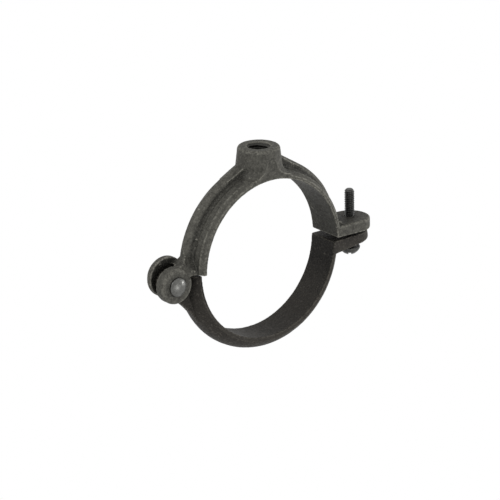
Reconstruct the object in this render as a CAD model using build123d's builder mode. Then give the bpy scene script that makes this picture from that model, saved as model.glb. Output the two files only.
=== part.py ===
from build123d import *
import math
import os

# Hinged split clamp that hangs a pipe from a threaded rod. Two cast half rings meet at
# the pipe's middle plane. A rivet hinges them on one side and a slotted screw closes
# them on the other. The boss on top takes the hanger rod.
# Lengths are in millimetres. The origin is the centre of the upper half's bore,
# +Y runs along the pipe and +Z points up the hanger rod.

# Upper half ring: a band with sloped shoulders and a half-round bead set a little to the rear
bore_radius = 44.5
upper_front = 12.0
upper_rear = 11.0
front_edge = 1.8
front_ridge = 9.5
front_ridge_height = 3.2
rear_edge = 0.8
rear_ridge = 8.2
rear_ridge_height = 2.9
root_height = 5.1
shoulder_round = 1.2
bead_radius = 4.0
bead_height = 8.3
bead_set_back = 0.9
bead_root = 1.1
bead_flat_depth = 1.0
bead_flat_angle = 25.7

# Lower half ring: round-backed, deepest at the bottom, with a flat side that holds the
# pipe. The clamp hangs a little open, and this half lies slightly behind the upper one.
lower_width = 20.2
lower_edge = 1.5
lower_thickness = 7.0
lower_belly = 1.1
lower_bore_room = 0.4
lower_shift = 0.4
lower_set_back = 2.9
lower_drop = 1.3
lower_foot_gap = 1.8

# Boss for the hanger rod, flared at its foot
rod_radius = 6.35
rod_pitch = 1.954
boss_height = 16.8
boss_top_radius = 11.5
boss_waist_radius = 12.7
boss_flank_length = 10.8
boss_flare_width = 4.3
boss_flare_height = 4.7
boss_foot_width = 3.0
boss_foot_height = 4.0
boss_edge = 1.7
hinge_ramp_angle = 27.0
screw_ramp_angle = 32.0
tap_mouth_radius = 6.8

# Hinge: two ears on the upper half, the rear one larger and set higher
hinge_offset = 16.6
hinge_drop = 4.0
knuckle_radius = 9.9
knuckle_round = 1.8
front_ear_thickness = 6.3
rear_ear_thickness = 4.2
rear_ear_radius = 11.2
rear_ear_rise = 2.5
rear_ear_shift = 1.2
tongue_thickness = 4.3
tongue_clearance = 0.3
tongue_inset = 3.0
swing_clearance = 0.6
web_blend = 7.0
web_taper_low = 2.0
neck_blend = 60.0

# Rivet of the hinge
rivet_radius = 3.2
rivet_head_radius = 5.2
rivet_head_height = 2.6
rivet_head_rim = 0.6
rivet_clearance = 0.05
rivet_head_clearance = 0.1

# Ears for the clamp screw
upper_ear_bottom = 2.1
upper_ear_thickness = 6.1
upper_ear_radius = 11.0
upper_ear_overhang = 10.5
upper_ear_blend = 3.0
lower_ear_drop = 1.8
lower_ear_thickness = 7.9
lower_ear_overhang = 12.4
lower_ear_slope = 2.0
lower_ear_taper = 6.2
screw_hole_room = 0.9
screw_hole_travel = 2.4
ear_edge = 1.2

# Clamp screw
screw_offset = 17.2
screw_radius = 2.75
screw_length = 32.9
screw_tip_length = 1.5
screw_tip_radius = 1.7
screw_head_radius = 5.7
screw_head_height = 4.9
screw_head_rim = 1.0
screw_slot_width = 1.6
screw_slot_depth = 2.0
screw_slot_angle = 53.0
screw_clearance = 0.05
screw_head_gap = 2.0

# Sizes worked out from those above
lower_side = lower_width / 2
bead_crest = bore_radius + bead_height
bead_centre = bead_crest - bead_radius
root_radius = bore_radius + root_height
boss_top = bore_radius + boss_height
boss_waist = boss_top - boss_flank_length
lower_bore_radius = bore_radius + lower_bore_room
lower_centre = (lower_shift, -lower_drop)
back_centre = (lower_shift, -lower_drop - lower_belly)
back_radius = bore_radius + lower_thickness
hinge = (-bore_radius - hinge_offset, -hinge_drop)
rear_ear_centre = (hinge[0] + rear_ear_shift, hinge[1] + rear_ear_rise)
slot_half = tongue_thickness / 2 + tongue_clearance
ear_outer = (front_ear_thickness + 2 * slot_half + rear_ear_thickness) / 2
slot_centre = front_ear_thickness + slot_half - ear_outer
web_side = ear_outer - knuckle_round
swing_radius = knuckle_radius + swing_clearance
tongue_radius = knuckle_radius - tongue_inset
tap_radius = rod_radius - 0.54127 * rod_pitch
screw_x = bore_radius + screw_offset
screw_hole_radius = screw_radius + screw_hole_room
upper_ear_top = upper_ear_bottom + upper_ear_thickness
ear_slope = math.radians(lower_ear_slope)
ear_under_slope = math.radians(lower_ear_slope + lower_ear_taper)
ear_under_root = -lower_ear_drop - lower_ear_thickness
screw_head_z = ear_under_root + screw_offset * math.tan(ear_under_slope) - screw_head_gap
screw_top = screw_head_z + screw_length
blank = 4 * bead_crest


def across(y):
    """Plane across the pipe at the place y along it, seen from the front."""
    return Plane(origin=(0, y, 0), x_dir=(1, 0, 0), z_dir=(0, -1, 0))


def between(centre_a, radius_a, centre_b, radius_b, side):
    """Point at given distances from two centres, left (1) or right (-1) of the line a to b."""
    dx, dz = centre_b[0] - centre_a[0], centre_b[1] - centre_a[1]
    apart = math.hypot(dx, dz)
    along = (radius_a**2 - radius_b**2 + apart**2) / (2 * apart)
    off = side * math.sqrt(radius_a**2 - along**2)
    return (centre_a[0] + (along * dx - off * dz) / apart, centre_a[1] + (along * dz + off * dx) / apart)


os.makedirs("parts", exist_ok=True)

# Web that runs from the hinge's ears up into the bead
web_centre = between(hinge, knuckle_radius + web_blend, (0, 0), bead_crest + web_blend, 1)
web_end = web_centre[1] * bead_crest / (bead_crest + web_blend)
with BuildPart() as web:
    with BuildSketch(across(0)):
        with BuildLine():
            Polyline(
                hinge,
                web_centre,
                (0, 0),
                (-bore_radius - 1, 0),
                (hinge[0] + knuckle_radius / 2, 0),
                close=True,
            )
        make_face()
        with Locations(web_centre):
            Circle(web_blend, mode=Mode.SUBTRACT)
        Circle(bore_radius + 1, mode=Mode.SUBTRACT)
    extrude(amount=ear_outer, both=True)
    with BuildSketch(Plane.YZ):
        with BuildLine():
            Polyline(
                (-web_side, -blank),
                (web_side, -blank),
                (web_side, web_taper_low),
                (bead_set_back, web_end),
                (-web_side, web_taper_low),
                close=True,
            )
        make_face()
    extrude(amount=blank, both=True, mode=Mode.INTERSECT)

# Front ear of the hinge, a disc with a rounded rim, as deep as the slot's rear wall
with BuildPart() as front_ear:
    with BuildSketch(across(-ear_outer)):
        with Locations(hinge):
            Circle(knuckle_radius)
    extrude(amount=rear_ear_thickness - 2 * ear_outer)
    fillet(front_ear.faces().sort_by(Axis.Y)[0].edges(), knuckle_round)

# Rear ear of the hinge, a larger disc that keeps clear of the lower half
with BuildPart() as rear_ear:
    with BuildSketch(across(ear_outer)):
        with Locations(rear_ear_centre):
            Circle(rear_ear_radius)
    extrude(amount=rear_ear_thickness)
    fillet(rear_ear.faces().sort_by(Axis.Y)[-1].edges(), knuckle_round)
    with BuildSketch(across(ear_outer)):
        with Locations((hinge[0], 0)):
            Rectangle(blank, blank, align=(Align.MIN, Align.MAX))
        with Locations(hinge):
            Circle(knuckle_radius, mode=Mode.SUBTRACT)
    extrude(amount=rear_ear_thickness, mode=Mode.SUBTRACT)

# Boss, cut level with the ring's sides
with BuildPart() as boss:
    with BuildSketch(Plane.XZ):
        with BuildLine():
            flank = Line((boss_top_radius, boss_top), (boss_waist_radius, boss_waist))
            foot_point = (boss_waist_radius + boss_flare_width, boss_waist - boss_flare_height)
            flare = TangentArc(flank @ 1, foot_point, tangent=flank % 1)
            foot_x, foot_z = foot_point[0] + boss_foot_width, foot_point[1] - boss_foot_height
            Polyline(flare @ 1, (foot_x, foot_z), (0, foot_z), (0, boss_top), flank @ 0)
        make_face()
    revolve(axis=Axis.Z)
    fillet(boss.faces().sort_by(Axis.Z)[-1].edges(), boss_edge)
    with Locations((0, (upper_rear - upper_front) / 2, 0)):
        Box(blank, upper_front + upper_rear, blank, mode=Mode.INTERSECT)

# Upper ear for the screw, level with the ring's front and blended into its shoulders
with BuildPart() as upper_ear:
    ear_length = screw_offset + upper_ear_overhang - upper_ear_radius
    with BuildSketch(Plane.XY.offset(upper_ear_bottom)):
        with Locations((bore_radius + ear_length, upper_ear_radius - upper_front)):
            Circle(upper_ear_radius)
            Rectangle(ear_length, 2 * upper_ear_radius, align=(Align.MAX, Align.CENTER))
    extrude(amount=upper_ear_thickness)
    top_rim = upper_ear.faces().sort_by(Axis.Z)[-1].edges().filter_by_position(Axis.X, bore_radius + 1, blank)
    fillet(top_rim, ear_edge)
    blend_z = upper_ear_top + upper_ear_blend
    blend_x = math.sqrt((root_radius + upper_ear_blend) ** 2 - blend_z**2)
    blend_foot = (bore_radius + 1) / (root_radius + upper_ear_blend)
    with BuildSketch(across(-front_ridge)):
        with BuildLine():
            Polyline(
                (blend_x, blend_z),
                (blend_x, upper_ear_top - ear_edge),
                (bore_radius + 1, upper_ear_top - ear_edge),
                (blend_x * blend_foot, blend_z * blend_foot),
                close=True,
            )
        make_face()
        with Locations((blend_x, blend_z)):
            Circle(upper_ear_blend, mode=Mode.SUBTRACT)
    extrude(amount=-front_ridge - rear_ridge)

with BuildPart() as upper_half:
    # Ring, turned whole, with a flat on its bead, and trimmed to its half
    with BuildSketch(Plane.YZ) as upper_section:
        with BuildLine():
            Polyline(
                (-upper_front, bore_radius),
                (upper_rear, bore_radius),
                (upper_rear, bore_radius + rear_edge),
                (rear_ridge, bore_radius + rear_ridge_height),
                (bead_set_back, root_radius),
                (-front_ridge, bore_radius + front_ridge_height),
                (-upper_front, bore_radius + front_edge),
                close=True,
            )
        make_face()
        corners = upper_section.vertices().filter_by_position(
            Axis.Y, bore_radius + rear_edge / 2, (bore_radius + front_ridge_height + root_radius) / 2
        )
        fillet(corners, shoulder_round)
        with Locations(Location((bead_set_back, bead_centre, 0), (0, 0, -90))):
            Circle(bead_radius)
        roots = upper_section.vertices().filter_by_position(
            Axis.X, bead_set_back - bead_radius - bead_root, bead_set_back + bead_radius + bead_root
        )
        roots = roots.filter_by_position(Axis.Y, bore_radius + front_ridge_height / 2, bead_crest - bead_radius / 2)
        fillet(roots, bead_root)
    revolve(axis=Axis.Y)
    with BuildSketch(across(0)):
        with Locations(Location((0, 0, 0), (0, 0, bead_flat_angle))):
            with Locations((bead_crest - bead_flat_depth, 0)):
                Rectangle(blank, blank, align=(Align.MIN, Align.CENTER))
    extrude(amount=blank, both=True, mode=Mode.SUBTRACT)
    for x, low in ((-blank / 2, 0), (blank / 2, upper_ear_bottom)):
        with Locations((x, 0, low - blank / 2)):
            Box(blank, blank, blank, mode=Mode.SUBTRACT)
    add(boss.part)

    # The bead leaves the ring's circle and runs straight up into the boss on both sides
    for side, angle in ((-1, hinge_ramp_angle), (1, screw_ramp_angle)):
        ramp = math.radians(angle)
        ramp_foot = Plane(
            origin=(side * bead_centre * math.sin(ramp), bead_set_back, bead_centre * math.cos(ramp)),
            x_dir=(0, 1, 0),
            z_dir=(-side * math.cos(ramp), 0, math.sin(ramp)),
        )
        with BuildSketch(ramp_foot):
            Circle(bead_radius)
            Rectangle(2 * bead_radius, 2 * bead_radius - 2 * bead_root)
        extrude(amount=bead_centre * math.tan(ramp) - boss_waist_radius / 2)

    # Screw ear, hinge knuckle and the slot for the tongue
    add(upper_ear.part)
    add(web.part)
    add(front_ear.part)
    add(rear_ear.part)
    with BuildSketch(across(slot_centre)):
        with Locations(hinge):
            Circle(swing_radius)
    extrude(amount=slot_half, both=True, mode=Mode.SUBTRACT)

    # Pipe bore, rivet hole, rod thread with its countersunk mouth, and screw thread
    with BuildSketch(across(0)):
        Circle(bore_radius)
        with Locations(hinge):
            Circle(rivet_radius + rivet_clearance)
    extrude(amount=blank, both=True, mode=Mode.SUBTRACT)
    with BuildSketch(Plane.XZ):
        with BuildLine():
            Polyline(
                (0, 0),
                (tap_radius, 0),
                (tap_radius, boss_top - (tap_mouth_radius - tap_radius)),
                (tap_mouth_radius, boss_top),
                (0, boss_top),
                close=True,
            )
        make_face()
    revolve(axis=Axis.Z, mode=Mode.SUBTRACT)
    with BuildSketch(Plane.XY.offset(upper_ear_bottom)):
        with Locations((screw_x, 0)):
            Circle(screw_radius + screw_clearance)
    extrude(amount=upper_ear_thickness, mode=Mode.SUBTRACT)
    upper_half.part.label = "upper_half"

# Lower ear for the screw, its top rising a little and its underside more towards the tip
ear_plane = Plane(
    origin=(bore_radius, lower_set_back, -lower_ear_drop),
    x_dir=(math.cos(ear_slope), 0, math.sin(ear_slope)),
    z_dir=(-math.sin(ear_slope), 0, math.cos(ear_slope)),
)
under_plane = Plane(
    origin=(bore_radius, lower_set_back, ear_under_root),
    x_dir=(math.cos(ear_under_slope), 0, math.sin(ear_under_slope)),
    z_dir=(-math.sin(ear_under_slope), 0, math.cos(ear_under_slope)),
)
with BuildPart() as lower_ear:
    ear_length = (screw_offset + lower_ear_overhang) / math.cos(ear_under_slope) - lower_side
    with BuildSketch(under_plane):
        with Locations((ear_length, 0)):
            Circle(lower_side)
            Rectangle(ear_length + lower_thickness / 2, lower_width, align=(Align.MAX, Align.CENTER))
    extrude(amount=2 * lower_ear_thickness)
    low_rim = lower_ear.faces().sort_by(Axis.Z)[0].edges().filter_by_position(Axis.X, bore_radius + 1, blank)
    fillet(low_rim, ear_edge)
    with BuildSketch(ear_plane):
        Rectangle(blank, blank)
    extrude(amount=blank, mode=Mode.SUBTRACT)

with BuildPart() as lower_half:
    # Ring, turned whole about its back's centre and trimmed to its half
    with BuildSketch(Plane(origin=(lower_shift, lower_set_back, back_centre[1]), x_dir=(0, 1, 0), z_dir=(1, 0, 0))):
        with BuildLine():
            band = Polyline(
                (-lower_side, bore_radius + lower_edge),
                (-lower_side, bore_radius - lower_belly - 1),
                (lower_side, bore_radius - lower_belly - 1),
                (lower_side, bore_radius + lower_edge),
            )
            ThreePointArc(band @ 1, (0, back_radius), band @ 0)
        make_face()
    revolve(axis=Axis((lower_shift, 0, back_centre[1]), (0, 1, 0)))
    with Locations((-blank / 2, 0, blank / 2 - lower_foot_gap)):
        Box(blank, blank, blank, mode=Mode.SUBTRACT)
    with BuildSketch(ear_plane):
        with Locations((-bore_radius, 0)):
            Rectangle(blank, blank, align=(Align.MIN, Align.CENTER))
    extrude(amount=blank, mode=Mode.SUBTRACT)
    add(lower_ear.part)

    # Room for the knuckle, then the tongue and its neck between the ears
    with BuildSketch(across(0)):
        with Locations(hinge):
            Circle(swing_radius)
    extrude(amount=blank, both=True, mode=Mode.SUBTRACT)
    neck_centre = between(hinge, tongue_radius + neck_blend, back_centre, back_radius + neck_blend, -1)
    with BuildSketch(across(slot_centre)):
        with BuildLine():
            Polyline(
                hinge,
                neck_centre,
                back_centre,
                (-bore_radius - 1, -lower_foot_gap),
                (hinge[0] + tongue_radius / 2, -lower_foot_gap),
                close=True,
            )
        make_face()
        with Locations(neck_centre):
            Circle(neck_blend, mode=Mode.SUBTRACT)
        with Locations(hinge):
            Circle(tongue_radius)
    extrude(amount=tongue_thickness / 2, both=True)

    # Pipe bore, rivet hole and the screw's long hole
    with BuildSketch(across(0)):
        with Locations(lower_centre):
            Circle(lower_bore_radius)
        with Locations(hinge):
            Circle(rivet_radius + rivet_clearance)
    extrude(amount=blank, both=True, mode=Mode.SUBTRACT)
    with BuildSketch(Plane.XY.offset(screw_head_z)):
        with Locations((screw_x + screw_hole_travel / 2, 0)):
            SlotOverall(screw_hole_travel + 2 * screw_hole_radius, 2 * screw_hole_radius)
    extrude(amount=-screw_head_z, mode=Mode.SUBTRACT)
    lower_half.part.label = "lower_half"

with BuildPart() as hinge_rivet:
    # Shank with a round head formed against each ear
    head_face = ear_outer + rivet_head_clearance
    head_rim = head_face + rivet_head_rim
    head_crown = head_face + rivet_head_height
    with BuildSketch(Plane(origin=(hinge[0], 0, hinge[1]), x_dir=(1, 0, 0), z_dir=(0, 0, 1))):
        with BuildLine():
            Polyline(
                (rivet_head_radius, head_rim),
                (rivet_head_radius, head_face),
                (rivet_radius, head_face),
                (rivet_radius, -head_face),
                (rivet_head_radius, -head_face),
                (rivet_head_radius, -head_rim),
            )
            TangentArc((0, -head_crown), (rivet_head_radius, -head_rim), tangent=(1, 0))
            Line((0, -head_crown), (0, head_crown))
            TangentArc((0, head_crown), (rivet_head_radius, head_rim), tangent=(1, 0))
        make_face()
    revolve(axis=Axis((hinge[0], 0, hinge[1]), (0, 1, 0)))
    hinge_rivet.part.label = "hinge_rivet"

with BuildPart() as clamp_screw:
    # Slotted round head below, shank and chamfered tip above
    head_bottom = screw_head_z - screw_head_height
    with BuildSketch(Plane(origin=(screw_x, 0, 0), x_dir=(1, 0, 0), z_dir=(0, -1, 0))):
        with BuildLine():
            outline = Polyline(
                (0, head_bottom),
                (0, screw_top),
                (screw_tip_radius, screw_top),
                (screw_radius, screw_top - screw_tip_length),
                (screw_radius, screw_head_z),
                (screw_head_radius, screw_head_z),
                (screw_head_radius, screw_head_z - screw_head_rim),
            )
            TangentArc(outline @ 0, outline @ 1, tangent=(1, 0))
        make_face()
    revolve(axis=Axis((screw_x, 0, 0), (0, 0, 1)))
    with BuildSketch(Plane.XY.offset(head_bottom)):
        with Locations(Location((screw_x, 0, 0), (0, 0, screw_slot_angle))):
            Rectangle(4 * screw_head_radius, screw_slot_width)
    extrude(amount=screw_slot_depth, mode=Mode.SUBTRACT)
    clamp_screw.part.label = "clamp_screw"

export_step(upper_half.part, "parts/upper_half.step")
export_step(lower_half.part, "parts/lower_half.step")
export_step(hinge_rivet.part, "parts/hinge_rivet.step")
export_step(clamp_screw.part, "parts/clamp_screw.step")
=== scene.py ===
import math

import bmesh
import bpy
from mathutils import Matrix, Vector, noise


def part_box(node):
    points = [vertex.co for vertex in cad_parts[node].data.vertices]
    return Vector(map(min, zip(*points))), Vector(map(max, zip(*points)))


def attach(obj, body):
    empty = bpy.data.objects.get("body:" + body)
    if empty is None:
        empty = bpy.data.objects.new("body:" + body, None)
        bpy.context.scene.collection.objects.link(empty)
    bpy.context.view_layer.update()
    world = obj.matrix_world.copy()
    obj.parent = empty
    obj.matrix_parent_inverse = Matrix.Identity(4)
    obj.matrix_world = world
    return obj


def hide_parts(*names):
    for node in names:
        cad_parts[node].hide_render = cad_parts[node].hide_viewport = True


# A hinged cast-iron pipe clamp. Both castings are softened and grained copies of their
# solids, and the rivet, the screw and the rod thread are modelled here.
# Lengths are in metres. +Y runs along the pipe and +Z points up the hanger rod.

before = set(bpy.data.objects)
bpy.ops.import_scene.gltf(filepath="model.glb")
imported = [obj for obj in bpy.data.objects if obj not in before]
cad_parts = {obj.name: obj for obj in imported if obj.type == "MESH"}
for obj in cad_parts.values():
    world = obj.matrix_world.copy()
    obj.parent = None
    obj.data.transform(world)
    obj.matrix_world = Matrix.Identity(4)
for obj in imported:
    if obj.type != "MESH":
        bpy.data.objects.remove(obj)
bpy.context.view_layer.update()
MM = 0.001

# Camera
CAMERA_AZIMUTH = -36.99
CAMERA_ELEVATION = 18.48
CAMERA_DISTANCE = 2.7
CAMERA_RIGHT = -5.49 * MM
CAMERA_UP = 1.49 * MM
CAMERA_CLIP = (0.05, 20)
OBJECT_LEAN = math.radians(1.0)
FOCAL_PIXELS = 4972
IMAGE_PIXELS = 500
SENSOR = 36

# Surroundings
FLOOR_HEIGHT = -0.24
FLOOR_SIZE = 6.0
FLOOR_COLOUR = (0.9, 0.9, 0.9, 1)
FLOOR_GLOW = (0.45, 0.45, 0.45, 1)
FLOOR_ROUGHNESS = 0.9
WHITE = (1, 1, 1, 1)
WORLD_LIGHT = 0.24

# Lamps, each with its azimuth, elevation, size and power
LAMPS = {
    "right": (64, 8, 0.25, 3.4),
    "left": (-90, 40, 0.5, 4.2),
    "low_front": (0, -8, 0.5, 3.2),
}
LAMP_DISTANCE = 1.0

# Castings
CAST_VOXEL = 0.31 * MM
CAST_SOFTENING = 6
CAST_SOFTENING_FACTOR = 0.5
CAST_SWELL = 0.15 * MM
CAST_TRIANGLES = 180000

# Noise that roughens the castings, as depth and scale
CAST_NOISE = ((0.10 * MM, 160), (0.08 * MM, 620))

# Ridges and valleys along the upper half's arms, as place along the pipe, width and height
ARM_RELIEF = (
    (-9.3 * MM, 1.1 * MM, 0.35 * MM),
    (-3.9 * MM, 1.2 * MM, -0.6 * MM),
    (5.7 * MM, 1.2 * MM, -0.35 * MM),
    (8.4 * MM, 1.0 * MM, 0.15 * MM),
)

# Radii that relief lies between, how far beside the rod's axis it begins, and its fade there
ARM_RELIEF_RADII = (46.6 * MM, 54.0 * MM)
ARM_RELIEF_BOSS = 17 * MM
ARM_RELIEF_BOSS_FADE = 5 * MM

# Height where that relief begins, and over which it fades in, at the hinge and at the screw ear
ARM_RELIEF_HINGE = (0.0, 3 * MM)
ARM_RELIEF_EAR = (9.5 * MM, 5 * MM)

# Web that carries the hinge's front ear into the bead
WEB_FRONT = -7.7 * MM
WEB_BACK = 0.4 * MM
WEB_BASE = 1.5 * MM
WEB_HEIGHT = 12.4 * MM
WEB_CURVE = 1.35
WEB_CIRCLE = (-58.44 * MM, 12.69 * MM, 6.9 * MM)
WEB_SPAN = (-58.0 * MM, -46.5 * MM)
WEB_LEVELS = 32

# Share of half a pitch that is flat crest, and share that is flank
THREAD_CREST = 0.125
THREAD_FLANK = 0.625

# Rod thread in the boss
ROD_RADIUS = 6.35 * MM
ROD_PITCH = 1.954 * MM
ROD_TAP_RADIUS = 5.292 * MM
ROD_ROWS_PER_PITCH = 10
ROD_RUN_IN = ROD_PITCH * 0.5
ROD_THREAD_BOTTOM = 44.8 * MM
ROD_THREAD_SINK = 0.75 * MM
ROD_THREAD_BACKING = 0.5 * MM
ROD_CUTTER_ROOM = 0.1 * MM
ROD_CUTTER_SPAN = (30 * MM, 80 * MM)

# Hinge rivet
RIVET_HEAD_HEIGHT = 2.6 * MM
RIVET_HEAD_RIM = 0.6 * MM
RIVET_HEAD_EDGE = 0.15 * MM
RIVET_SHANK_RADIUS = 3.2 * MM
RIVET_DOME_STEPS = 18

# Clamp screw
SCREW_RADIUS = 2.75 * MM
SCREW_PITCH = 1.058 * MM
SCREW_ROWS_PER_PITCH = 12
SCREW_THREAD_DEPTH = 0.55 * MM
SCREW_THREAD_SINK = 0.5 * MM
SCREW_HEAD_RADIUS = 5.7 * MM
SCREW_HEAD_HEIGHT = 4.9 * MM
SCREW_HEAD_RIM = 1.0 * MM
SCREW_HEAD_EDGE = 0.25 * MM
SCREW_HEAD_ROUNDING = 0.18 * MM
SCREW_HEAD_ROUNDING_STEPS = 3
SCREW_HEAD_ROUNDING_ANGLE = math.radians(50)
SCREW_DOME_STEPS = 20
SCREW_SLOT_WIDTH = 1.6 * MM
SCREW_SLOT_DEPTH = 2.0 * MM
SCREW_SLOT_ANGLE = math.radians(53)
SCREW_TIP_RADIUS = 1.7 * MM
SCREW_TIP_LENGTH = 1.5 * MM
SCREW_TIP_CURVE = 1.6

# Points round a turned piece and round a thread
TURN_STEPS = 96
THREAD_STEPS = 64

# A radius under this lies on the axis, and points nearer than the weld are one
AXIS_RADIUS = 1e-7
WELD_DISTANCE = 0.0005 * MM

# Layers of grain, each as its share of the finish's scale and its detail
COARSE_GRAIN = (0.45, 4)
FINE_GRAIN = (1.0, 6)
FLECK_GRAIN = (1.5, 3)
GRAIN_ROUGHNESS = 0.6

# Limits between which each effect comes in
MOTTLE_LIMITS = (0.2, 0.8)
PAINTED_SHADE_LIMITS = (0.55, 0.98)
EDGE_LIMITS = (0.503, 0.526)
EDGE_BREAKS = (0.4, 0.6)
FLECK_LIMITS = (0.5, 0.75)
POLISH_LIMITS = (0.3, 0.7)

# How strongly flecks show, how far roughness varies, and specular for no metal and for metal
FLECK_STRENGTH = 0.4
POLISH_SPREAD = 0.12
SPECULAR_BASE = 0.1
SPECULAR_METAL = 0.8

# Painted shade darkens the colour where something stands within this reach
PAINTED_SHADE_REACH = 9 * MM
PAINTED_SHADE_SAMPLES = 8
PAINTED_SHADE_TONE = 0.22

# Width over which the painted shade on the bore's surface fades in at its edge
BORE_FADE = 0.4 * MM

# Finishes, whose edge lightening is partly wear and partly painted highlight
FINISHES = {
    "cast_upper": {
        "dark": (0.032, 0.031, 0.027),
        "light": (0.140, 0.136, 0.118),
        "fleck_and_highlight": (0.30, 0.29, 0.25),
        "metallic": 0.05,
        "rough": 0.62,
        "bump": 0.07 * MM,
        "scale": 800,
        "wear_and_highlight": 1.0,
        # Inside the bore radius the colour is painted darker, as shade.
        "bore": 44.7 * MM,
        "bore_painted_shade": 0.65,
    },
    "cast_lower": {
        "dark": (0.026, 0.0235, 0.0205),
        "light": (0.056, 0.051, 0.044),
        "fleck_and_highlight": (0.17, 0.155, 0.13),
        "metallic": 0.05,
        "rough": 0.62,
        "bump": 0.05 * MM,
        "scale": 800,
        "wear_and_highlight": 0.5,
        # Inside the bore radius the colour is painted darker, as shade.
        "bore": 45.6 * MM,
        "bore_painted_shade": 0.1,
    },
    # The thread's colours are the casting's at 0.4 times: a darker copy that paints the shade deep in
    # the boss's hole.
    "thread": {
        "dark": (0.0128, 0.0124, 0.0108),
        "light": (0.056, 0.0544, 0.0472),
        "fleck_and_highlight": (0.12, 0.116, 0.10),
        "metallic": 0.2,
        "rough": 0.5,
        "bump": 0.03 * MM,
        "scale": 1200,
        "wear_and_highlight": 0.3,
    },
    "rivet_steel": {
        "dark": (0.085, 0.085, 0.078),
        "light": (0.15, 0.15, 0.14),
        "fleck_and_highlight": (0.24, 0.24, 0.23),
        "metallic": 0.5,
        "rough": 0.36,
        "bump": 0.08 * MM,
        "scale": 700,
        "wear_and_highlight": 0.2,
    },
    "screw_steel": {
        "dark": (0.022, 0.022, 0.020),
        "light": (0.045, 0.044, 0.040),
        "fleck_and_highlight": (0.14, 0.14, 0.13),
        "metallic": 0.5,
        "rough": 0.42,
        "bump": 0.05 * MM,
        "scale": 1200,
        "wear_and_highlight": 0.4,
    },
}


def direction(azimuth, elevation):
    """Unit vector towards a place given in degrees. Azimuth 0 stands in front, at -Y."""
    turn, rise = math.radians(azimuth), math.radians(elevation)
    return Vector((math.sin(turn) * math.cos(rise), -math.cos(turn) * math.cos(rise), math.sin(rise)))


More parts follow.
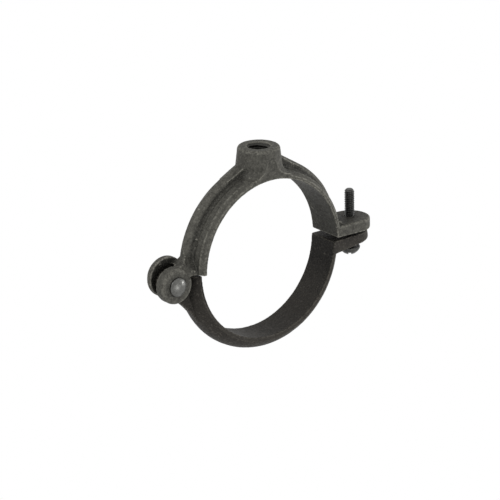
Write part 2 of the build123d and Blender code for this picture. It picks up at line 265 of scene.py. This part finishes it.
def material(name, dark, light, fleck_and_highlight, metallic, rough, bump, scale, wear_and_highlight, bore=0.0, bore_painted_shade=1.0):
    """Mottled metal: two colours mixed by grain, painted shade in the hollows, edges lightened by
    wear and painted highlight, pale flecks and pits. Nearer to the pipe's axis than bore it is
    darker, as painted shade."""
    mat = bpy.data.materials.new(name)
    mat.use_nodes = True
    nodes, links = mat.node_tree.nodes, mat.node_tree.links
    shader = nodes["Principled BSDF"]
    place = nodes.new("ShaderNodeTexCoord")

    def grain(share, detail):
        node = nodes.new("ShaderNodeTexNoise")
        node.inputs["Scale"].default_value = scale * share
        node.inputs["Detail"].default_value = detail
        node.inputs["Roughness"].default_value = GRAIN_ROUGHNESS
        links.new(place.outputs["Object"], node.inputs["Vector"])
        return node.outputs["Fac"]

    def ramp(value, low, high, out_low=0.0, out_high=1.0):
        node = nodes.new("ShaderNodeMapRange")
        node.inputs["From Min"].default_value = low
        node.inputs["From Max"].default_value = high
        node.inputs["To Min"].default_value = out_low
        node.inputs["To Max"].default_value = out_high
        links.new(value, node.inputs["Value"])
        return node.outputs["Result"]

    def times(first, second):
        node = nodes.new("ShaderNodeMath")
        node.operation = "MULTIPLY"
        links.new(first, node.inputs[0])
        links.new(second, node.inputs[1])
        return node.outputs["Value"]

    def blend_colour(factor, first, second):
        node = nodes.new("ShaderNodeMix")
        node.data_type = "RGBA"
        links.new(factor, node.inputs["Factor"])
        for socket, value in (("A", first), ("B", second)):
            target = [s for s in node.inputs if s.name == socket and s.type == "RGBA"][0]
            if isinstance(value, tuple):
                target.default_value = (*value, 1)
            else:
                links.new(value, target)
        return [s for s in node.outputs if s.type == "RGBA"][0]

    def from_pipe_axis():
        flat = nodes.new("ShaderNodeVectorMath")
        flat.operation = "MULTIPLY"
        flat.inputs[1].default_value = (1, 0, 1)
        links.new(place.outputs["Object"], flat.inputs[0])
        length = nodes.new("ShaderNodeVectorMath")
        length.operation = "LENGTH"
        links.new(flat.outputs["Vector"], length.inputs[0])
        return length.outputs["Value"]

    coarse = grain(*COARSE_GRAIN)
    fine = grain(*FINE_GRAIN)
    flecks = grain(*FLECK_GRAIN)
    geometry = nodes.new("ShaderNodeNewGeometry")
    # Ambient occlusion paints shade into the colour: hollows, slots and the hole turn towards a much
    # darker copy of the dark colour.
    hollow_shade = nodes.new("ShaderNodeAmbientOcclusion")
    hollow_shade.samples = PAINTED_SHADE_SAMPLES
    hollow_shade.inputs["Distance"].default_value = PAINTED_SHADE_REACH
    painted_shade = tuple(channel * PAINTED_SHADE_TONE for channel in dark)
    colour = blend_colour(ramp(coarse, *MOTTLE_LIMITS), dark, light)
    colour = blend_colour(ramp(hollow_shade.outputs["AO"], *PAINTED_SHADE_LIMITS), painted_shade, colour)
    # Painted shade on the bore's surface: nearer the pipe's axis than bore, the colour turns towards
    # the painted shade colour.
    if bore:
        outside = ramp(from_pipe_axis(), bore, bore + BORE_FADE, bore_painted_shade, 1.0)
        colour = blend_colour(outside, painted_shade, colour)
    # Convex edges turn towards the pale colour: partly wear, partly painted highlight along ridges
    # and edges.
    edge_wear_and_highlight = ramp(geometry.outputs["Pointiness"], *EDGE_LIMITS, 0.0, wear_and_highlight)
    colour = blend_colour(times(edge_wear_and_highlight, ramp(fine, *EDGE_BREAKS)), colour, fleck_and_highlight)
    colour = blend_colour(ramp(flecks, *FLECK_LIMITS, 0.0, FLECK_STRENGTH), colour, fleck_and_highlight)
    links.new(colour, shader.inputs["Base Color"])
    roughness = ramp(fine, *POLISH_LIMITS, rough + POLISH_SPREAD, rough - POLISH_SPREAD)
    links.new(roughness, shader.inputs["Roughness"])
    shader.inputs["Metallic"].default_value = metallic
    shader.inputs["Specular IOR Level"].default_value = SPECULAR_BASE + SPECULAR_METAL * metallic
    pits = nodes.new("ShaderNodeBump")
    pits.inputs["Strength"].default_value = 1.0
    pits.inputs["Distance"].default_value = bump
    links.new(fine, pits.inputs["Height"])
    links.new(pits.outputs["Normal"], shader.inputs["Normal"])
    return mat


def new_object(name, mesh):
    piece = bpy.data.objects.new(name, mesh)
    bpy.context.scene.collection.objects.link(piece)
    return piece


def mesh_from(name, points, faces):
    """Mesh with doubled points welded and its faces turned outwards."""
    mesh = bpy.data.meshes.new(name)
    mesh.from_pydata(points, [], faces)
    mesh.validate()
    work = bmesh.new()
    work.from_mesh(mesh)
    bmesh.ops.remove_doubles(work, verts=work.verts, dist=WELD_DISTANCE)
    bmesh.ops.recalc_face_normals(work, faces=work.faces)
    work.to_mesh(mesh)
    work.free()
    return mesh


def add_meshes(mesh, others):
    """Joins other meshes into this one."""
    work = bmesh.new()
    work.from_mesh(mesh)
    for other in others:
        work.from_mesh(other)
    work.to_mesh(mesh)
    work.free()


def apply_modifiers(piece):
    graph = bpy.context.evaluated_depsgraph_get()
    mesh = bpy.data.meshes.new_from_object(piece.evaluated_get(graph))
    piece.modifiers.clear()
    piece.data = mesh


def cut(piece, cutter):
    """Cuts one object out of another and removes the cutter."""
    knife = piece.modifiers.new("cut", "BOOLEAN")
    knife.operation = "DIFFERENCE"
    knife.solver = "EXACT"
    knife.object = cutter
    apply_modifiers(piece)
    bpy.data.objects.remove(cutter)


def finish_piece(piece, slot, nodes, body, angle, finish=None):
    """Gives a piece its material, its body and what it replaces. Edges sharper than angle,
    in degrees, stay sharp, and with angle 0 none does."""
    piece.data.materials.clear()
    piece.data.materials.append(MATERIALS[finish or slot])
    for face in piece.data.polygons:
        face.use_smooth = True
    if angle:
        piece.data.set_sharp_from_angle(angle=math.radians(angle))
    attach(piece, body)
    if nodes:
        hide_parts(*nodes)


def on_circle(radius, step, steps, z):
    turn = 2 * math.pi * step / steps
    return (radius * math.cos(turn), radius * math.sin(turn), z)


def lathe(profile):
    """Points and faces of a closed solid turned about Z from (radius, z) pairs that start and
    end on the axis."""
    points, rows = [], []
    for radius, z in profile:
        if radius < AXIS_RADIUS:
            rows.append([len(points)] * TURN_STEPS)
            points.append((0, 0, z))
            continue
        rows.append(range(len(points), len(points) + TURN_STEPS))
        points += [on_circle(radius, step, TURN_STEPS, z) for step in range(TURN_STEPS)]
    faces = []
    for lower, upper in zip(rows, rows[1:]):
        for step in range(TURN_STEPS):
            after = (step + 1) % TURN_STEPS
            corners = list(dict.fromkeys([lower[step], lower[after], upper[after], upper[step]]))
            if len(corners) > 2:
                faces.append(corners)
    return points, faces


def arc(centre, radius, start, stop, count):
    """Points of an arc in the (radius, z) plane, angles in degrees."""
    turns = (math.radians(start + (stop - start) * i / count) for i in range(count + 1))
    return [(centre[0] + radius * math.cos(t), centre[1] + radius * math.sin(t)) for t in turns]


def dome_shape(radius, height):
    """Radius of the sphere whose cap has this radius and height, and half the cap's angle in
    degrees."""
    sphere = (radius**2 + height**2) / (2 * height)
    return sphere, math.degrees(math.asin(min(radius / sphere, 1)))


def thread_depth(phase):
    """How deep the groove is at a place along one pitch, from a flat crest at 0 down straight
    flanks to a flat root at 1."""
    side = abs(((phase + 0.5) % 1.0) - 0.5) * 2
    return min(max((side - THREAD_CREST) / THREAD_FLANK, 0.0), 1.0)


def thread_rows(outer, inner, pitch, bottom, top, per_pitch, run_in=0.0):
    """Rows of radii for a thread between two heights, fading out over run_in at each end."""
    count = max(int((top - bottom) / pitch * per_pitch), 2)
    rows = []
    for row in range(count + 1):
        z = bottom + (top - bottom) * row / count
        fade = min(1.0, (z - bottom) / run_in, (top - z) / run_in) if run_in else 1.0
        depths = (thread_depth(z / pitch - step / THREAD_STEPS) for step in range(THREAD_STEPS))
        rows.append((z, [outer - depth * (outer - inner) * fade for depth in depths]))
    return rows


def rows_to_mesh(name, rows, ends):
    """Closed mesh from rows of radii about Z, with the given rings (radius, z) closing the
    way round."""
    rings = rows + [(z, [radius] * THREAD_STEPS) for radius, z in ends]
    points, faces = [], []
    for ring, (z, radii) in enumerate(rings):
        points += [on_circle(radius, step, THREAD_STEPS, z) for step, radius in enumerate(radii)]
        here, there = ring * THREAD_STEPS, (ring + 1) % len(rings) * THREAD_STEPS
        for step in range(THREAD_STEPS):
            after = (step + 1) % THREAD_STEPS
            faces.append([here + step, here + after, there + after, there + step])
    return mesh_from(name, points, faces)


def arm_relief(place):
    """How far the surface of the upper half's arms is raised here, or lowered."""
    inner, outer = ARM_RELIEF_RADII
    start, fade_in = ARM_RELIEF_EAR if place.x > 0 else ARM_RELIEF_HINGE
    past_boss, past_start = abs(place.x) - ARM_RELIEF_BOSS, place.z - start
    if not inner < math.hypot(place.x, place.z) < outer or past_boss < 0 or past_start < 0:
        return 0.0
    fade = min(1.0, past_boss / ARM_RELIEF_BOSS_FADE, past_start / fade_in)
    return fade * sum(h * math.exp(-(((place.y - y) / width) ** 2)) for y, width, h in ARM_RELIEF)


def roughen(mesh, relief=None):
    """Makes up for the softening, adds relief and wears the surface inwards by noise."""
    moved = []
    for vertex in mesh.vertices:
        inward = -CAST_SWELL - (relief(vertex.co) if relief else 0.0)
        for depth, scale in CAST_NOISE:
            inward += depth * (0.5 + 0.5 * noise.noise(vertex.co * scale))
        moved.append(vertex.co - vertex.normal * inward)
    for vertex, place in zip(mesh.vertices, moved):
        vertex.co = place


def thin_out(piece, triangles):
    """Thins a piece to about this many triangles, where it has more."""
    present = sum(len(face.vertices) - 2 for face in piece.data.polygons)
    thin = piece.modifiers.new("thin", "DECIMATE")
    thin.ratio = min(1.0, triangles / present)
    apply_modifiers(piece)


def keep_in_box(mesh, low, high):
    """Moves points that left the box back onto its sides."""
    for vertex in mesh.vertices:
        vertex.co = [min(max(vertex.co[i], low[i]), high[i]) for i in range(3)]


def make_casting(node, body, slot, cutters=(), fillers=(), relief=None):
    """Copy of a cast node, cut and with fillers melted in, then softened, grained and thinned.
    It stays inside the node's box."""
    piece = new_object(node + "_casting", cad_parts[node].data.copy())
    for cutter in cutters:
        cut(piece, cutter)
    add_meshes(piece.data, fillers)
    cage = piece.modifiers.new("cage", "REMESH")
    cage.mode = "VOXEL"
    cage.voxel_size = CAST_VOXEL
    soften = piece.modifiers.new("soften", "SMOOTH")
    soften.factor = CAST_SOFTENING_FACTOR
    soften.iterations = CAST_SOFTENING
    apply_modifiers(piece)
    roughen(piece.data, relief)
    thin_out(piece, CAST_TRIANGLES)
    keep_in_box(piece.data, *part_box(node))
    finish_piece(piece, slot, [node], body, angle=0)


def web_filler():
    """Block that carries the front ear's face up into the bead. Its front is level with the
    ear and leans back, and its left side follows a circle."""
    circle_x, circle_z, radius = WEB_CIRCLE
    start, right = WEB_SPAN
    points, faces = [], []
    for level in range(WEB_LEVELS + 1):
        z = WEB_HEIGHT * level / WEB_LEVELS
        left = start
        if z > circle_z - radius:
            left = max(left, circle_x + math.sqrt(radius**2 - (z - circle_z) ** 2))
        rise = max(0.0, (z - WEB_BASE) / (WEB_HEIGHT - WEB_BASE))
        front = WEB_FRONT + (WEB_BACK - WEB_FRONT) * rise**WEB_CURVE
        points += [(left, front, z), (right, front, z), (right, 0, z), (left, 0, z)]
    for level in range(WEB_LEVELS):
        for side in range(4):
            first, second = level * 4 + side, level * 4 + (side + 1) % 4
            faces.append([first, second, second + 4, first + 4])
    faces += [[0, 1, 2, 3], [4 * WEB_LEVELS + side for side in (3, 2, 1, 0)]]
    return mesh_from("web", points, faces)


def rod_cutter():
    """Cylinder that bores out the boss for the rod thread."""
    radius = ROD_RADIUS + ROD_CUTTER_ROOM
    bottom, top = ROD_CUTTER_SPAN
    points, faces = lathe([(0, bottom), (radius, bottom), (radius, top), (0, top)])
    return new_object("rod_cutter", mesh_from("rod_cutter", points, faces))


def make_rod_thread():
    """The boss's inside thread, as a liner that fills the bored-out hole."""
    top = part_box("upper_half")[1][2] - ROD_THREAD_SINK
    bottom = ROD_THREAD_BOTTOM
    rows = thread_rows(
        ROD_RADIUS, ROD_TAP_RADIUS, ROD_PITCH, bottom, top, ROD_ROWS_PER_PITCH, ROD_RUN_IN
    )
    backing = ROD_RADIUS + ROD_THREAD_BACKING
    mesh = rows_to_mesh("rod_thread", rows, [(backing, top), (backing, bottom)])
    piece = new_object("rod_thread", mesh)
    # The darker thread finish is painted shade inside the hole.
    finish_piece(piece, "cast_upper", [], "upper", angle=35, finish="thread")


def make_rivet():
    """Rivet with a domed head at each end."""
    low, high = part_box("hinge_rivet")
    head_radius = (high[0] - low[0]) / 2
    half_length = (high[1] - low[1]) / 2
    sphere, sweep = dome_shape(head_radius, RIVET_HEAD_HEIGHT - RIVET_HEAD_RIM)
    upper = arc((0, half_length - sphere), sphere, 90, 90 - sweep, RIVET_DOME_STEPS)
    face = half_length - RIVET_HEAD_HEIGHT
    upper += [
        (head_radius, face + RIVET_HEAD_EDGE),
        (head_radius - RIVET_HEAD_EDGE, face),
        (RIVET_SHANK_RADIUS, face),
        (RIVET_SHANK_RADIUS, 0),
    ]
    profile = upper + [(radius, -z) for radius, z in reversed(upper[:-1])]
    mesh = mesh_from("hinge_rivet", *lathe(profile))
    mesh.transform(Matrix.Rotation(math.radians(90), 4, "X"))
    mesh.transform(Matrix.Translation((Vector(low) + Vector(high)) / 2))
    piece = new_object("hinge_rivet_steel", mesh)
    finish_piece(piece, "rivet_steel", ["hinge_rivet"], "upper", angle=50)


def screw_slot_cutter(bottom):
    """Block across the head's dome that reaches in by the slot's depth."""
    mesh = bpy.data.meshes.new("slot")
    size = (4 * SCREW_HEAD_RADIUS, SCREW_SLOT_WIDTH, 2 * SCREW_SLOT_DEPTH)
    turn = Matrix.Rotation(SCREW_SLOT_ANGLE, 3, "Z")
    work = bmesh.new()
    bmesh.ops.create_cube(work, size=1)
    bmesh.ops.scale(work, vec=size, verts=work.verts)
    bmesh.ops.rotate(work, cent=(0, 0, 0), matrix=turn, verts=work.verts)
    bmesh.ops.translate(work, vec=(0, 0, bottom), verts=work.verts)
    work.to_mesh(mesh)
    work.free()
    return new_object("slot", mesh)


def make_screw_head(name, bottom, face):
    """Domed head from its bottom up to the face that bears, with its slot cut and its sharp
    edges rounded."""
    sphere, sweep = dome_shape(SCREW_HEAD_RADIUS, face - SCREW_HEAD_RIM - bottom)
    profile = arc((0, bottom + sphere), sphere, -90, -90 + sweep, SCREW_DOME_STEPS)
    profile += [
        (SCREW_HEAD_RADIUS, face - SCREW_HEAD_EDGE),
        (SCREW_HEAD_RADIUS - SCREW_HEAD_EDGE, face),
        (0, face),
    ]
    head = new_object(name, mesh_from("clamp_screw", *lathe(profile)))
    cut(head, screw_slot_cutter(bottom))
    rounding = head.modifiers.new("rounding", "BEVEL")
    rounding.width = SCREW_HEAD_ROUNDING
    rounding.segments = SCREW_HEAD_ROUNDING_STEPS
    rounding.limit_method = "ANGLE"
    rounding.angle_limit = SCREW_HEAD_ROUNDING_ANGLE
    apply_modifiers(head)
    return head


def screw_shank(bottom, top):
    """Threaded shank that narrows to its tip."""
    inner = SCREW_RADIUS - SCREW_THREAD_DEPTH
    rows = thread_rows(SCREW_RADIUS, inner, SCREW_PITCH, bottom, top, SCREW_ROWS_PER_PITCH)
    shaped = []
    for z, radii in rows:
        down = max(0.0, (z - (top - SCREW_TIP_LENGTH)) / SCREW_TIP_LENGTH)
        limit = SCREW_RADIUS - (SCREW_RADIUS - SCREW_TIP_RADIUS) * down**SCREW_TIP_CURVE
        shaped.append((z, [min(radius, limit) for radius in radii]))
    return rows_to_mesh("shank", shaped, [(0, top), (0, bottom)])


def make_screw():
    """Round-head screw, with its shank begun inside the head."""
    low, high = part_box("clamp_screw")
    face = low[2] + SCREW_HEAD_HEIGHT
    screw = make_screw_head("clamp_screw_steel", low[2], face)
    add_meshes(screw.data, [screw_shank(face - SCREW_THREAD_SINK, high[2])])
    screw.data.transform(Matrix.Translation(((low[0] + high[0]) / 2, 0, 0)))
    finish_piece(screw, "screw_steel", ["clamp_screw"], "screw", angle=35)


def make_camera():
    """Camera of the photograph, far away, turned a little because the clamp leans there."""
    azimuth = math.radians(CAMERA_AZIMUTH)
    back = direction(CAMERA_AZIMUTH, CAMERA_ELEVATION)
    right = Vector((math.cos(azimuth), math.sin(azimuth), 0))
    up = back.cross(right)
    turned = Matrix((right, up, back)).transposed().to_4x4()
    turned.translation = back * CAMERA_DISTANCE + right * CAMERA_RIGHT + up * CAMERA_UP
    data = bpy.data.cameras.new("camera")
    data.sensor_width = SENSOR
    data.lens = FOCAL_PIXELS * SENSOR / IMAGE_PIXELS
    data.clip_start, data.clip_end = CAMERA_CLIP
    camera = new_object("camera", data)
    camera.matrix_world = Matrix.Rotation(OBJECT_LEAN, 4, "Y") @ turned
    bpy.context.scene.camera = camera


def seen_directly(nodes, links):
    """1 where the camera, a reflection or glass sees the background, 0 where it only lights."""
    path = nodes.new("ShaderNodeLightPath")
    total = path.outputs["Is Camera Ray"]
    for ray in ("Is Glossy Ray", "Is Transmission Ray"):
        either = nodes.new("ShaderNodeMath")
        either.operation = "MAXIMUM"
        links.new(total, either.inputs[0])
        links.new(path.outputs[ray], either.inputs[1])
        total = either.outputs["Value"]
    return total


def make_world():
    """Even soft light from all round, and a white background where nothing is hit."""
    world = bpy.data.worlds.new("surroundings")
    bpy.context.scene.world = world
    world.use_nodes = True
    nodes, links = world.node_tree.nodes, world.node_tree.links
    lit = nodes["Background"]
    lit.inputs["Color"].default_value = WHITE
    lit.inputs["Strength"].default_value = WORLD_LIGHT
    seen = nodes.new("ShaderNodeBackground")
    seen.inputs["Color"].default_value = WHITE
    mix = nodes.new("ShaderNodeMixShader")
    links.new(seen_directly(nodes, links), mix.inputs["Fac"])
    links.new(lit.outputs[0], mix.inputs[1])
    links.new(seen.outputs[0], mix.inputs[2])
    links.new(mix.outputs[0], nodes["World Output"].inputs["Surface"])


def make_floor():
    """Pale floor well under the hanging clamp, open from below."""
    half = FLOOR_SIZE / 2
    corners = [(x * half, y * half, FLOOR_HEIGHT) for x, y in ((-1, -1), (1, -1), (1, 1), (-1, 1))]
    mesh = mesh_from("floor", corners, [(0, 1, 2, 3)])
    floor = new_object("floor", mesh)
    mat = bpy.data.materials.new("floor")
    mat.use_nodes = True
    nodes, links = mat.node_tree.nodes, mat.node_tree.links
    pale = nodes["Principled BSDF"]
    pale.inputs["Base Color"].default_value = FLOOR_COLOUR
    pale.inputs["Roughness"].default_value = FLOOR_ROUGHNESS
    links.new(seen_directly(nodes, links), pale.inputs["Emission Strength"])
    pale.inputs["Emission Color"].default_value = FLOOR_GLOW
    geometry = nodes.new("ShaderNodeNewGeometry")
    clear = nodes.new("ShaderNodeBsdfTransparent")
    mix = nodes.new("ShaderNodeMixShader")
    links.new(geometry.outputs["Backfacing"], mix.inputs["Fac"])
    links.new(pale.outputs[0], mix.inputs[1])
    links.new(clear.outputs[0], mix.inputs[2])
    links.new(mix.outputs[0], nodes["Material Output"].inputs["Surface"])
    mesh.materials.append(mat)


def make_lamp(name, azimuth, elevation, size, power):
    """Square soft lamp that looks at the clamp."""
    back = direction(azimuth, elevation)
    data = bpy.data.lights.new(name, "AREA")
    data.size = size
    data.energy = power
    lamp = new_object(name, data)
    lamp.location = back * LAMP_DISTANCE
    lamp.rotation_euler = (-back).to_track_quat("-Z", "Y").to_euler()


MATERIALS = {name: material(name, **finish) for name, finish in FINISHES.items()}
make_camera()
make_world()
make_floor()
for name, settings in LAMPS.items():
    make_lamp(name, *settings)

make_casting("upper_half", "upper", "cast_upper", [rod_cutter()], [web_filler()], arm_relief)
make_casting("lower_half", "lower", "cast_lower")
make_rod_thread()
make_rivet()
make_screw()

bpy.context.scene.view_settings.view_transform = "Standard"
